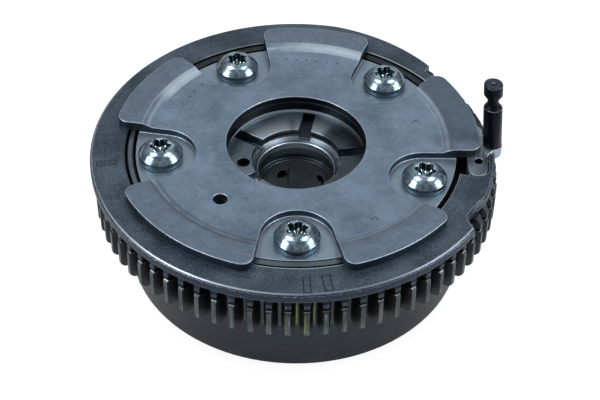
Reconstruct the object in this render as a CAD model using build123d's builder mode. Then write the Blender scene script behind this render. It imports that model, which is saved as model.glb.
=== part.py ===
from build123d import *
import math
import os

os.makedirs("parts", exist_ok=True)

# Camshaft gear: a gear-driven vane adjuster with a split, anti-backlash gear.
# Lengths are in mm, angles in degrees, counter-clockwise about +Z from +X.
# The axis of rotation is Z, and the flat rear rim stands on z = 0.

# Gear teeth
teeth = 72
gear_module = 1.5
pressure_angle = 20.0
addendum = 1.5
dedendum = 2.7
tooth_azimuth = 3.3
gear_width = 9.0
gear_top_chamfer = 0.7
gear_foot_chamfer = 0.8

# Housing
drum_radius = 47.2
drum_height = 20.1
drum_foot_chamfer = 0.3
gear_spacing = 0.4
spacer_radius = 50.0
nose_radius = 46.6
rear_wall = 5.0
chamber_radius = 41.0
collar_clearance = 0.05

# Compensating gear
rear_gear_step = 0.4
compensating_width = 4.0
compensating_bore_clearance = 0.05
compensating_land_rise = 0.25
compensating_land_radius = 50.0
compensating_chamfer_depth = 1.3
compensating_chamfer_height = 2.3

# Rotor, vanes and their sealing strips
axial_clearance = 0.05
rotor_hub_radius = 27.5
hub_clearance = 0.1
vane_tip_clearance = 0.15
vane_angle = 12.0
lock_vane_angle = 22.0
vane_lead = 4.0
stroke = 20.0
stop_clearance = 0.25
free_margin = 1.5
vane_foot_fillet = 1.2
web_corner_fillet = 1.6
seal_width = 2.4
seal_depth = 3.0
seal_side_clearance = 0.03
seal_wall_clearance = 0.05
seal_foot_gap = 0.45
leaf_thickness = 0.2
collar_radius = 19.0
collar_foot = 0.5

# Rotor face and bores
groove_azimuths = [10.7, 79.0, 148.0, 215.0, 299.0]
groove_width = 3.5
face_recess_radius = 19.4
face_recess_depth = 1.85
groove_depth = 3.0
ledge_radius = 12.3
front_bore_radius = 10.6
front_bore_depth = 3.3
ring_groove_radius = 11.2
ring_groove_width = 3.0
valve_bore_radius = 10.0
cam_seat_radius = 16.5
cam_seat_depth = 8.0
cam_dowel_radius = 2.0
cam_dowel_offset = 13.2
cam_dowel_depth = 4.0
cam_dowel_azimuth = 120.0
port_radius = 1.4
port_height = 17.3
port_offset = 4.0
port_lead = 5.0
tool_hole_radius = 1.75
tool_hole_offset = 14.6
tool_hole_azimuth = 186.7
tool_hole_depth = 6.0

# Front cover
cover_radius = 43.8
cover_thickness = 4.5
pocket_floor_thickness = 2.5
pocket_radius = 9.6
flat_radius = 39.8
cone_radius = 42.7
lobe_radius = 50.1
lobe_thickness = 2.7
lobe_corner_fillet = 3.0
cover_hole_radius = 18.85
cover_step_depth = 1.9
cover_step_width = 0.25
pocket_sides = [(257.5, 285.0), (324.0, 355.0), (36.5, 64.5), (102.0, 133.5), (172.5, 204.5)]

# Cover screws, pan head
screw_azimuths = [270.7, 337.9, 47.3, 117.9, 188.3]
bolt_circle_radius = 37.0
screw_radius = 3.0
screw_hole_clearance = 0.3
screw_length = 14.5
tapped_depth = 15.0
head_radius = 6.0
head_height = 4.6
head_side_height = 2.1
head_crown_radius = 4.3
socket_radius = 2.5
socket_depth = 2.6

# Timing disc
disc_lift = 0.3
disc_thickness = 2.6
disc_radius = 56.2
disc_inner_radius = 46.8
disc_edge_chamfer = 0.5
disc_reduced_inner_radius = 45.4
disc_window_depth = 2.0
disc_hidden_width = 3.1
disc_edge_band = 4.7
disc_cut_clearance = 0.35
disc_tab_thickness = 1.1
disc_tab_clearance = 0.05
disc_tab_inset = 7.0
disc_step_depth = 3.10779
disc_step_azimuth = 43.28279
disc_rise_depth = 1.80219
disc_rise_azimuth = 56.99644
disc_rise_end = 78.0
notch_start = 325.6
notch_depths = [2.88059, 3.68695, 2.84337]
notch_azimuths = [-32.43823, -30.81406, -24.11513]
notch_end = 338.4
window_end = 361.0
hidden_start = 366.0
hidden_end = 402.0
reduced_inner_start = -36.0
reduced_inner_end = -14.0
lug_window_radius = 47.8
lug_arm_end = 14.0
lobe_spans = [(64.5, 102.0), (133.5, 172.5), (204.5, 257.5), (285.0, 324.0)]

# Backlash spring, its lug and pins
ring_inner_radius = 44.3
ring_outer_radius = 46.2
ring_height = 1.6
ring_end_azimuth = 311.0
lug_clearance = 0.1
lug_top_clearance = 0.08
lug_eye_radius = 2.7
lug_tongue_radius = 2.55
lug_tongue_tip = (49.05, -9.0)
lug_tongue_hole = (49.5, -5.6)
lug_tongue_hole_radius = 1.15
spring_pin_radius = 1.5
spring_pin_offset = 49.0
spring_pin_azimuth = 8.0
spring_pin_eye_radius = 2.9
spring_pin_clearance = 0.05
spring_pin_foot = 0.1
spring_pin_recess = 0.25
anchor_pin_radius = 0.9
anchor_pin_depth = 5.0
anchor_pin_rise = 1.6

# Assembly pin
assembly_pin_offset = 53.7
assembly_pin_azimuth = 0.8
assembly_shank_radius = 0.95
assembly_shank_length = 13.4
assembly_shank_clearance = 0.06
assembly_body_radius = 2.575
assembly_body_length = 13.9
assembly_body_chamfer = 0.5
assembly_shoulder_gap = 0.05
assembly_neck_radius = 1.55
assembly_neck_length = 1.4
assembly_neck_cone = 1.2
assembly_head_cone = 1.6
assembly_head_length = 3.6
assembly_head_chamfer = 0.35
assembly_dimple_radius = 0.8
assembly_dimple_depth = 0.6

# Lock pin, its spring and its seat
lock_azimuth = 229.9
lock_offset = 30.6
lock_pin_radius = 3.5
lock_pin_length = 11.0
lock_pin_clearance = 0.03
lock_pin_tip_taper = 0.4
lock_pin_hollow_radius = 2.4
lock_pin_crown = 2.4
lock_bore_depth = 20.4
lock_drain_radius = 1.0
lock_spring_wire = 0.7
lock_spring_radius = 2.1
seat_radius = 5.0
seat_thickness = 2.4
seat_recess_depth = 1.6
seat_recess_clearance = 0.12
vent_radius = 1.95

# Heights that follow from the sizes above
gear_bottom = drum_height
gear_top = gear_bottom + gear_width
compensating_bottom = gear_top + gear_spacing
housing_top = compensating_bottom + compensating_width
disc_bottom = housing_top + disc_lift
disc_top = disc_bottom + disc_thickness
pocket_floor = housing_top + pocket_floor_thickness
cover_top = housing_top + cover_thickness
lobe_top = disc_top + lobe_thickness
rotor_bottom = rear_wall + axial_clearance
rotor_top = housing_top - axial_clearance
face_floor = rotor_top - face_recess_depth
groove_floor = face_floor - groove_depth
cam_seat_floor = collar_foot + cam_seat_depth
lock_bore_floor = rotor_top - lock_bore_depth
lock_pin_tip = housing_top - 2 * axial_clearance
lock_pin_foot = lock_pin_tip - lock_pin_length

# Radii that follow from the sizes above
pitch_radius = teeth * gear_module / 2
tip_radius = pitch_radius + addendum
root_radius = pitch_radius - dedendum
compensating_tip_radius = tip_radius - rear_gear_step
vane_tip_radius = chamber_radius - vane_tip_clearance
web_face_radius = rotor_hub_radius + hub_clearance
disc_window_radius = disc_radius - disc_window_depth
disc_hidden_radius = disc_inner_radius + disc_hidden_width


def polar(radius, angle):
    return (radius * math.cos(math.radians(angle)), radius * math.sin(math.radians(angle)))


def involute(angle):
    return math.tan(angle) - angle


def half_tooth(radius):
    """Half the angle that a tooth covers at a radius."""
    base_radius = pitch_radius * math.cos(math.radians(pressure_angle))
    at_pitch = math.pi / (2 * teeth) + involute(math.radians(pressure_angle))
    return math.degrees(at_pitch - involute(math.acos(base_radius / radius)))


def gear_outline(outer_radius):
    """Draw the closed outline of the toothed wheel, each involute flank as two chords."""
    middle_radius = (root_radius + outer_radius) / 2
    points = []
    for number in range(teeth):
        centre = tooth_azimuth + number * 360 / teeth
        for radius in (root_radius, middle_radius, outer_radius):
            points.append(polar(radius, centre - half_tooth(radius)))
        for radius in (outer_radius, middle_radius, root_radius):
            points.append(polar(radius, centre + half_tooth(radius)))
    Polyline(*points, close=True)


def tip_edges(edges, outer_radius):
    """Pick the short edges at the tips of the teeth."""
    return [edge for edge in edges if math.hypot((edge @ 0.5).X, (edge @ 0.5).Y) > outer_radius - 0.1]


def sector_outline(inner_radius, outer_radius, start, end):
    """Draw the closed outline of a ring sector between two angles."""
    middle = (start + end) / 2
    ThreePointArc(polar(inner_radius, start), polar(inner_radius, middle), polar(inner_radius, end))
    Line(polar(inner_radius, end), polar(outer_radius, end))
    ThreePointArc(polar(outer_radius, end), polar(outer_radius, middle), polar(outer_radius, start))
    Line(polar(outer_radius, start), polar(inner_radius, start))


# Vane positions, each next to its oil groove in the rotor face
vane_starts = [azimuth + vane_lead for azimuth in groove_azimuths]
lock_vane = 3
vane_spans = []
for number, start in enumerate(vane_starts):
    span = lock_vane_angle if number == lock_vane else vane_angle
    margin = stop_clearance if number == lock_vane else free_margin
    vane_spans.append((start, start + span, start - stroke - margin, start + span + margin))


# Housing with the main gear, five chambers and the integral webs between them
with BuildPart() as gear_housing:
    with BuildSketch(Plane.XY.offset(gear_bottom)):
        with BuildLine():
            gear_outline(tip_radius)
        make_face()
    extrude(amount=gear_width)
    chamfer(tip_edges(gear_housing.edges().group_by(Axis.Z)[-1], tip_radius), length=gear_top_chamfer)
    chamfer(tip_edges(gear_housing.edges().group_by(Axis.Z)[0], tip_radius), length=gear_foot_chamfer)
    with BuildSketch():
        Circle(drum_radius)
    extrude(amount=drum_height)
    chamfer(gear_housing.edges().group_by(Axis.Z)[0], length=drum_foot_chamfer)
    with BuildSketch(Plane.XY.offset(gear_top)):
        Circle(spacer_radius)
    extrude(amount=gear_spacing)
    with BuildSketch(Plane.XY.offset(compensating_bottom)):
        Circle(nose_radius)
    extrude(amount=compensating_width)
    with BuildSketch(Plane.XY.offset(rear_wall)):
        Circle(web_face_radius)
        for start, end, chamber_start, chamber_end in vane_spans:
            with BuildLine():
                sector_outline(web_face_radius - 2, chamber_radius, chamber_start, chamber_end)
            make_face()
    extrude(amount=housing_top - rear_wall, mode=Mode.SUBTRACT)
    fillet(
        [
            edge
            for edge in gear_housing.edges().filter_by(Axis.Z)
            if abs(math.hypot(edge.center().X, edge.center().Y) - web_face_radius) < 0.05
        ],
        radius=web_corner_fillet,
    )
    with BuildSketch():
        Circle(collar_radius + collar_clearance)
    extrude(amount=rear_wall, mode=Mode.SUBTRACT)
    with BuildSketch(Plane.XY.offset(housing_top)):
        for azimuth in screw_azimuths:
            with Locations(polar(bolt_circle_radius, azimuth)):
                Circle(screw_radius)
    extrude(amount=-tapped_depth, mode=Mode.SUBTRACT)
    with BuildSketch(Plane.XY.offset(housing_top)):
        anchor_offset = (ring_inner_radius + ring_outer_radius) / 2
        anchor_turn = math.degrees(anchor_pin_radius / anchor_offset)
        with Locations(polar(anchor_offset, ring_end_azimuth + anchor_turn)):
            Circle(anchor_pin_radius)
    extrude(amount=-anchor_pin_depth, mode=Mode.SUBTRACT)
gear_housing.part.label = "gear_housing"
export_step(gear_housing.part, "parts/gear_housing.step")


# Narrow second gear that takes up the backlash, turning on the nose of the housing
with BuildPart() as compensating_gear:
    with BuildSketch(Plane.XY.offset(compensating_bottom)):
        with BuildLine():
            gear_outline(compensating_tip_radius)
        make_face()
    extrude(amount=compensating_width)
    chamfer(
        tip_edges(compensating_gear.edges().group_by(Axis.Z)[-1], compensating_tip_radius),
        length=compensating_chamfer_depth,
        length2=compensating_chamfer_height,
        reference=compensating_gear.faces().sort_by(Axis.Z)[-1],
    )
    with BuildSketch(Plane.XY.offset(housing_top)):
        Circle(compensating_land_radius)
    extrude(amount=compensating_land_rise)
    with BuildSketch(Plane.XY.offset(compensating_bottom)):
        Circle(nose_radius + compensating_bore_clearance)
        with Locations(polar(spring_pin_offset, spring_pin_azimuth)):
            Circle(spring_pin_radius)
    extrude(amount=compensating_width + compensating_land_rise, mode=Mode.SUBTRACT)
compensating_gear.part.label = "compensating_gear"
export_step(compensating_gear.part, "parts/compensating_gear.step")


# Outline of the lug: a tongue with a small hole, an eye for the assembly pin
# and an eye for the spring pin, joined to the open spring ring
assembly_pin_place = polar(assembly_pin_offset, assembly_pin_azimuth)
spring_pin_place = polar(spring_pin_offset, spring_pin_azimuth)
lug_bottom = housing_top + compensating_land_rise + lug_clearance
lug_top = disc_top - lug_top_clearance
with BuildSketch() as lug_outline:
    with BuildLine():
        Polyline(
            (lug_tongue_tip[0] - lug_tongue_radius, lug_tongue_tip[1]),
            (lug_tongue_tip[0] + lug_tongue_radius, lug_tongue_tip[1]),
            (lug_tongue_tip[0] + lug_tongue_radius + 0.5, -3.6),
            (assembly_pin_place[0], assembly_pin_place[1] - lug_eye_radius),
            assembly_pin_place,
            (spring_pin_place[0] + 1.2, spring_pin_place[1] + 2.6),
            (spring_pin_place[0] - 2.0, spring_pin_place[1] + 2.0),
            (lug_tongue_tip[0] - lug_tongue_radius, 0.0),
            close=True,
        )
    make_face()
    with Locations(lug_tongue_tip):
        Circle(lug_tongue_radius)
    with Locations(assembly_pin_place):
        Circle(lug_eye_radius)
    with Locations(spring_pin_place):
        Circle(spring_pin_eye_radius)


# Open ring spring between the two gears, with its lug
with BuildPart() as backlash_spring:
    with BuildSketch(Plane.XY.offset(housing_top)):
        with BuildLine():
            sector_outline(ring_inner_radius, ring_outer_radius, spring_pin_azimuth - 4, ring_end_azimuth)
        make_face()
    extrude(amount=ring_height)
    with BuildSketch(Plane.XY.offset(lug_bottom)):
        add(lug_outline.sketch)
        with BuildLine():
            sector_outline(
                ring_inner_radius,
                spring_pin_offset,
                spring_pin_azimuth - 4,
                spring_pin_azimuth + 3,
            )
        make_face()
    extrude(amount=lug_top - lug_bottom)
    with BuildSketch(Plane.XY.offset(lug_bottom)):
        with Locations(lug_tongue_hole):
            Circle(lug_tongue_hole_radius)
        with Locations(assembly_pin_place):
            Circle(assembly_shank_radius + assembly_shank_clearance)
        with Locations(spring_pin_place):
            Circle(spring_pin_radius + spring_pin_clearance)
    extrude(amount=lug_top - lug_bottom, mode=Mode.SUBTRACT)
backlash_spring.part.label = "backlash_spring"
export_step(backlash_spring.part, "parts/backlash_spring.step")


# Pin that couples the lug to the compensating gear
with BuildPart() as spring_pin:
    with BuildSketch(Plane.XY.offset(compensating_bottom + spring_pin_foot)):
        with Locations(spring_pin_place):
            Circle(spring_pin_radius)
    extrude(amount=disc_top - spring_pin_recess - compensating_bottom - spring_pin_foot)
    chamfer(spring_pin.edges().group_by(Axis.Z)[-1], length=0.3)
spring_pin.part.label = "spring_pin"
export_step(spring_pin.part, "parts/spring_pin.step")


# Pin in the housing that the plain end of the ring spring bears on
with BuildPart() as anchor_pin:
    with BuildSketch(Plane.XY.offset(housing_top - anchor_pin_depth)):
        with Locations(polar(anchor_offset, ring_end_azimuth + anchor_turn)):
            Circle(anchor_pin_radius)
    extrude(amount=anchor_pin_depth + anchor_pin_rise)
    chamfer(anchor_pin.edges().group_by(Axis.Z)[-1], length=0.2)
anchor_pin.part.label = "anchor_pin"
export_step(anchor_pin.part, "parts/anchor_pin.step")


# Timing disc, clamped under the lobes of the cover and open at the lug
with BuildPart() as timing_disc:
    with BuildSketch(Plane.XY.offset(disc_bottom)):
        with BuildLine():
            ThreePointArc(
                polar(disc_radius - disc_step_depth, disc_step_azimuth),
                polar(disc_radius - disc_rise_depth, disc_rise_azimuth),
                polar(disc_radius, disc_rise_end),
            )
            ThreePointArc(
                polar(disc_radius, disc_rise_end),
                polar(disc_radius, 200.0),
                polar(disc_radius, notch_start),
            )
            Polyline(
                polar(disc_radius, notch_start),
                *[polar(disc_radius - depth, azimuth) for depth, azimuth in zip(notch_depths, notch_azimuths)],
                polar(disc_window_radius, notch_end),
            )
            ThreePointArc(
                polar(disc_window_radius, notch_end),
                polar(disc_window_radius, (notch_end + window_end) / 2),
                polar(disc_window_radius, window_end),
            )
            Line(polar(disc_window_radius, window_end), polar(disc_hidden_radius, hidden_start))
            ThreePointArc(
                polar(disc_hidden_radius, hidden_start),
                polar(disc_hidden_radius, (hidden_start + hidden_end) / 2),
                polar(disc_hidden_radius, hidden_end),
            )
            Line(
                polar(disc_hidden_radius, hidden_end),
                polar(disc_radius - disc_step_depth, disc_step_azimuth),
            )
        make_face()
        Circle(disc_reduced_inner_radius, mode=Mode.SUBTRACT)
        with BuildLine():
            sector_outline(
                disc_reduced_inner_radius - 1,
                disc_inner_radius,
                reduced_inner_end,
                reduced_inner_start + 360,
            )
        make_face(mode=Mode.SUBTRACT)
    extrude(amount=disc_thickness)
    chamfer(
        [
            edge
            for edge in timing_disc.edges().group_by(Axis.Z)[-1]
            if math.hypot((edge @ 0.5).X, (edge @ 0.5).Y) > disc_radius - disc_edge_band
        ],
        length=disc_edge_chamfer,
    )
    with BuildSketch(Plane.XY.offset(disc_top)):
        for start, end in lobe_spans:
            with BuildLine():
                sector_outline(
                    cover_radius + disc_tab_clearance,
                    disc_inner_radius + 1,
                    start + disc_tab_inset,
                    end - disc_tab_inset,
                )
            make_face()
    extrude(amount=-disc_tab_thickness)
    with BuildSketch(Plane.XY.offset(disc_bottom)):
        add(lug_outline.sketch)
        offset(amount=disc_cut_clearance)
        with BuildLine():
            sector_outline(disc_reduced_inner_radius - 1, lug_window_radius, reduced_inner_end, lug_arm_end)
        make_face()
    extrude(amount=disc_thickness, mode=Mode.SUBTRACT)
timing_disc.part.label = "timing_disc"
export_step(timing_disc.part, "parts/timing_disc.step")


def pocket_walls(azimuth, side, sign):
    """Find where a pocket wall touches its round end, and where it leaves the cover."""
    turn = math.radians(abs(side - azimuth))
    along = lobe_radius * math.cos(turn) - bolt_circle_radius
    across = lobe_radius * math.sin(turn)
    slope = math.atan2(across, along) - math.asin(pocket_radius / math.hypot(along, across))
    foot = (-pocket_radius * math.sin(slope), pocket_radius * math.cos(slope))
    reach = 2 * pocket_radius
    tip = (foot[0] + reach * math.cos(slope), foot[1] + reach * math.sin(slope))
    points = []
    for x, y in (foot, tip):
        points.append(Vector(bolt_circle_radius + x, sign * y, 0).rotate(Axis.Z, azimuth))
    return points


# Front cover with five raised lobes and a pocket round each screw
with BuildPart() as front_cover:
    with BuildSketch(Plane.XZ):
        with BuildLine():
            Polyline(
                (cover_hole_radius, housing_top),
                (cover_radius, housing_top),
                (cover_radius, disc_top),
                (lobe_radius, disc_top),
                (lobe_radius, lobe_top),
                (cone_radius, lobe_top),
                (flat_radius, cover_top),
                (cover_hole_radius + cover_step_width, cover_top),
                (cover_hole_radius + cover_step_width, cover_top - cover_step_depth),
                (cover_hole_radius, cover_top - cover_step_depth),
                close=True,
            )
        make_face()
    revolve(axis=Axis.Z)
    with BuildSketch(Plane.XY.offset(pocket_floor)):
        for azimuth, (start, end) in zip(screw_azimuths, pocket_sides):
            near_foot, near_tip = pocket_walls(azimuth, start, -1)
            far_foot, far_tip = pocket_walls(azimuth, end, 1)
            with BuildLine():
                Polyline(near_foot, near_tip, far_tip, far_foot, close=True)
            make_face()
            with Locations(polar(bolt_circle_radius, azimuth)):
                Circle(pocket_radius)
    extrude(amount=lobe_top - pocket_floor + 1, mode=Mode.SUBTRACT)
    fillet(
        [
            edge
            for edge in front_cover.edges().filter_by(Axis.Z)
            if abs(math.hypot(edge.center().X, edge.center().Y) - lobe_radius) < 0.05
        ],
        radius=lobe_corner_fillet,
    )
    with BuildSketch(Plane.XY.offset(housing_top)):
        for azimuth in screw_azimuths:
            with Locations(polar(bolt_circle_radius, azimuth)):
                Circle(screw_radius + screw_hole_clearance)
        with Locations(polar(lock_offset, lock_azimuth)):
            Circle(vent_radius)
    extrude(amount=cover_thickness, mode=Mode.SUBTRACT)
    with BuildSketch(Plane.XY.offset(housing_top)):
        with Locations(polar(lock_offset, lock_azimuth)):
            Circle(seat_radius)
    extrude(amount=seat_thickness, mode=Mode.SUBTRACT)
front_cover.part.label = "front_cover"
export_step(front_cover.part, "parts/front_cover.step")


# Hardened seat of the lock pin, pressed into the underside of the cover
with BuildPart() as lock_seat:
    with BuildSketch(Plane.XY.offset(housing_top)):
        with Locations(polar(lock_offset, lock_azimuth)):
            Circle(seat_radius)
    extrude(amount=seat_thickness)
    with BuildSketch(Plane.XY.offset(housing_top)):
        with Locations(polar(lock_offset, lock_azimuth)):
            Circle(lock_pin_radius + seat_recess_clearance)
    extrude(amount=seat_recess_depth, mode=Mode.SUBTRACT)
    with BuildSketch(Plane.XY.offset(housing_top)):
        with Locations(polar(lock_offset, lock_azimuth)):
            Circle(vent_radius)
    extrude(amount=seat_thickness, mode=Mode.SUBTRACT)
lock_seat.part.label = "lock_seat"
export_step(lock_seat.part, "parts/lock_seat.step")


# Five pan head screws with a plain socket recess, screwed into the webs
with BuildPart() as cover_screws:
    for azimuth in screw_azimuths:
        across = polar(bolt_circle_radius, azimuth)
        with BuildSketch(Plane((across[0], across[1], pocket_floor), x_dir=(1, 0, 0), z_dir=(0, -1, 0))):
            with BuildLine():
                Polyline(
                    (0, -screw_length),
                    (screw_radius, -screw_length),
                    (screw_radius, 0),
                    (head_radius, 0),
                    (head_radius, head_side_height),
                    (head_crown_radius, head_height),
                    (socket_radius, head_height),
                    (socket_radius, head_height - socket_depth),
                    (0, head_height - socket_depth),
                    close=True,
                )
            make_face()
        revolve(axis=Axis((across[0], across[1], 0), (0, 0, 1)))
cover_screws.part.label = "cover_screws"
export_step(cover_screws.part, "parts/cover_screws.step")


# Rotor: hub, vanes, collar, oil grooves and bores in one piece
with BuildPart() as rotor:
    with BuildSketch(Plane.XY.offset(rotor_bottom)):
        Circle(rotor_hub_radius)
        for start, end, chamber_start, chamber_end in vane_spans:
            with BuildLine():
                sector_outline(rotor_hub_radius - 2, vane_tip_radius, start, end)
            make_face()
    extrude(amount=rotor_top - rotor_bottom)
    fillet(
        [
            edge
            for edge in rotor.edges().filter_by(Axis.Z)
            if abs(math.hypot(edge.center().X, edge.center().Y) - rotor_hub_radius) < 0.05
        ],
        radius=vane_foot_fillet,
    )
    with BuildSketch(Plane.XY.offset(collar_foot)):
        Circle(collar_radius)
    extrude(amount=rotor_bottom - collar_foot)
    with BuildSketch(Plane.XZ):
        with BuildLine():
            Polyline(
                (0, rotor_top),
                (face_recess_radius, rotor_top),
                (face_recess_radius, face_floor),
                (ledge_radius, face_floor),
                (ledge_radius, groove_floor + 0.6),
                (front_bore_radius, groove_floor - 0.6),
                (front_bore_radius, groove_floor - front_bore_depth),
                (ring_groove_radius, groove_floor - front_bore_depth),
                (ring_groove_radius, groove_floor - front_bore_depth - ring_groove_width),
                (valve_bore_radius, groove_floor - front_bore_depth - ring_groove_width),
                (valve_bore_radius, cam_seat_floor),
                (cam_seat_radius, cam_seat_floor),
                (cam_seat_radius, collar_foot),
                (0, collar_foot),
                close=True,
            )
        make_face()
    revolve(axis=Axis.Z, mode=Mode.SUBTRACT)
    for azimuth in groove_azimuths:
        with BuildSketch(Plane.XY.offset(groove_floor).rotated((0, 0, azimuth))):
            with Locations(((ledge_radius + rotor_hub_radius) / 2, 0)):
                Rectangle(rotor_hub_radius - ledge_radius + 2, groove_width)
        extrude(amount=groove_depth, mode=Mode.SUBTRACT)
    for start, end, chamber_start, chamber_end in vane_spans:
        middle = (start + end) / 2
        with BuildSketch(Plane.XY.offset(rotor_bottom).rotated((0, 0, middle))):
            with Locations((chamber_radius - seal_depth / 2 - seal_wall_clearance - seal_foot_gap / 2, 0)):
                Rectangle(seal_depth + seal_foot_gap, seal_width + 2 * seal_side_clearance)
        extrude(amount=rotor_top - rotor_bottom, mode=Mode.SUBTRACT)
        port_plane = Plane.YZ.rotated((0, 0, end - port_lead))
        with BuildSketch(port_plane.offset(valve_bore_radius - 2)):
            with Locations((port_offset, port_height)):
                Circle(port_radius)
        extrude(amount=rotor_hub_radius - valve_bore_radius + 3, mode=Mode.SUBTRACT)
    with BuildSketch(Plane.XY.offset(face_floor)):
        with Locations(polar(tool_hole_offset, tool_hole_azimuth)):
            Circle(tool_hole_radius)
    extrude(amount=-tool_hole_depth, mode=Mode.SUBTRACT)
    with BuildSketch(Plane.XY.offset(cam_seat_floor)):
        with Locations(polar(cam_dowel_offset, cam_dowel_azimuth)):
            Circle(cam_dowel_radius)
    extrude(amount=cam_dowel_depth, mode=Mode.SUBTRACT)
    with BuildSketch(Plane.XY.offset(rotor_top)):
        with Locations(polar(lock_offset, lock_azimuth)):
            Circle(lock_pin_radius + lock_pin_clearance)
    extrude(amount=-lock_bore_depth, mode=Mode.SUBTRACT)
    with BuildSketch(Plane.XY.offset(rotor_bottom)):
        with Locations(polar(lock_offset, lock_azimuth)):
            Circle(lock_drain_radius)
    extrude(amount=lock_bore_floor - rotor_bottom, mode=Mode.SUBTRACT)
rotor.part.label = "rotor"
export_step(rotor.part, "parts/rotor.step")


# Sealing strip at the tip of each vane, and the bowed leaf spring under it
seal_outer_radius = chamber_radius - seal_wall_clearance
seal_inner_radius = seal_outer_radius - seal_depth + seal_foot_gap
leaf_floor_radius = seal_outer_radius - seal_depth
for number, (start, end, chamber_start, chamber_end) in enumerate(vane_spans, start=1):
    middle = (start + end) / 2
    with BuildPart() as vane_seal:
        with BuildSketch(Plane.XY.offset(rotor_bottom).rotated((0, 0, middle))):
            with BuildLine():
                half = seal_width / 2
                crown = math.sqrt(seal_outer_radius**2 - half**2)
                Polyline((crown, half), (seal_inner_radius, half), (seal_inner_radius, -half), (crown, -half))
                ThreePointArc((crown, half), (seal_outer_radius, 0), (crown, -half))
            make_face()
        extrude(amount=rotor_top - rotor_bottom)
    vane_seal.part.label = f"vane_seal_{number}"
    export_step(vane_seal.part, f"parts/vane_seal_{number}.step")
    with BuildPart() as seal_spring:
        with BuildSketch(Plane.XZ.rotated((0, 0, middle)).offset(-seal_width * 0.4)):
            low = rotor_bottom + 3
            high = rotor_top - 3
            centre = (low + high) / 2
            with BuildLine():
                ThreePointArc(
                    (leaf_floor_radius + 0.02, low),
                    (seal_inner_radius - leaf_thickness - 0.02, centre),
                    (leaf_floor_radius + 0.02, high),
                )
                Line((leaf_floor_radius + 0.02, high), (leaf_floor_radius + 0.02 + leaf_thickness, high))
                ThreePointArc(
                    (leaf_floor_radius + 0.02 + leaf_thickness, high),
                    (seal_inner_radius - 0.02, centre),
                    (leaf_floor_radius + 0.02 + leaf_thickness, low),
                )
                Line((leaf_floor_radius + 0.02 + leaf_thickness, low), (leaf_floor_radius + 0.02, low))
            make_face()
        extrude(amount=seal_width * 0.8)
    seal_spring.part.label = f"seal_spring_{number}"
    export_step(seal_spring.part, f"parts/seal_spring_{number}.step")


# Lock pin in the wide vane, hollow for its spring
with BuildPart() as lock_pin:
    with BuildSketch(Plane.XY.offset(lock_pin_foot)):
        with Locations(polar(lock_offset, lock_azimuth)):
            Circle(lock_pin_radius)
    extrude(amount=lock_pin_length)
    chamfer(lock_pin.edges().group_by(Axis.Z)[-1], length=lock_pin_tip_taper)
    with BuildSketch(Plane.XY.offset(lock_pin_foot)):
        with Locations(polar(lock_offset, lock_azimuth)):
            Circle(lock_pin_hollow_radius)
    extrude(amount=lock_pin_length - lock_pin_crown, mode=Mode.SUBTRACT)
lock_pin.part.label = "lock_pin"
export_step(lock_pin.part, "parts/lock_pin.step")


# Compression spring behind the lock pin, as the sleeve that its coils fill
spring_foot = lock_bore_floor
spring_head = lock_pin_tip - lock_pin_crown
with BuildPart() as lock_spring:
    with BuildSketch(Plane.XY.offset(spring_foot)):
        with Locations(polar(lock_offset, lock_azimuth)):
            Circle(lock_spring_radius)
            Circle(lock_spring_radius - lock_spring_wire, mode=Mode.SUBTRACT)
    extrude(amount=spring_head - spring_foot)
lock_spring.part.label = "lock_spring"
export_step(lock_spring.part, "parts/lock_spring.step")


# Assembly pin that holds the two gears in line until the gear is fitted
with BuildPart() as assembly_pin:
    shoulder = disc_top + assembly_shoulder_gap
    body_top = shoulder + assembly_body_length
    neck_foot = body_top + assembly_neck_cone
    neck_top = neck_foot + assembly_neck_length
    head_foot = neck_top + assembly_head_cone
    head_top = head_foot + assembly_head_length
    section = Plane(
        (assembly_pin_place[0], assembly_pin_place[1], 0),
        x_dir=(1, 0, 0),
        z_dir=(0, -1, 0),
    )
    with BuildSketch(section):
        with BuildLine():
            Polyline(
                (0, shoulder - assembly_shank_length),
                (assembly_shank_radius - 0.35, shoulder - assembly_shank_length),
                (assembly_shank_radius, shoulder - assembly_shank_length + 0.6),
                (assembly_shank_radius, shoulder),
                (assembly_body_radius - assembly_body_chamfer, shoulder),
                (assembly_body_radius, shoulder + assembly_body_chamfer),
                (assembly_body_radius, body_top),
                (assembly_neck_radius, neck_foot),
                (assembly_neck_radius, neck_top),
                (assembly_body_radius, head_foot),
                (assembly_body_radius, head_top - assembly_head_chamfer),
                (assembly_body_radius - assembly_head_chamfer, head_top),
                (assembly_dimple_radius, head_top),
                (0, head_top - assembly_dimple_depth),
                close=True,
            )
        make_face()
    revolve(axis=Axis((assembly_pin_place[0], assembly_pin_place[1], 0), (0, 0, 1)))
assembly_pin.part.label = "assembly_pin"
export_step(assembly_pin.part, "parts/assembly_pin.step")
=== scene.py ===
import math

import bmesh
import bpy
from mathutils import Matrix, Vector


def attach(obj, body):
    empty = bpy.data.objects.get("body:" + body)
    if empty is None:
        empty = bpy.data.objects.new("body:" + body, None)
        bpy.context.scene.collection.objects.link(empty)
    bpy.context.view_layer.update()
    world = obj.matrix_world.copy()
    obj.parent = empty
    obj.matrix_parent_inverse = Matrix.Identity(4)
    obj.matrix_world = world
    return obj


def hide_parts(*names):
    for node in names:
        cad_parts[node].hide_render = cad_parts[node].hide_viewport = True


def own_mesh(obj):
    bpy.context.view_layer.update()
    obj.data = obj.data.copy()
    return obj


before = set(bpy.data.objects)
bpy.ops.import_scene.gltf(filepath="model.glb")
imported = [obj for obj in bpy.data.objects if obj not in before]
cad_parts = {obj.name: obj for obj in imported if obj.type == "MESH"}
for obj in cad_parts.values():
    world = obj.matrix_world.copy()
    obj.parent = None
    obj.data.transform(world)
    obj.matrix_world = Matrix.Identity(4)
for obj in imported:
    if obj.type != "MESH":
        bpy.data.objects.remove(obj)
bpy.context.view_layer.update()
mm = 0.001
print("frame loaded")


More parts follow.
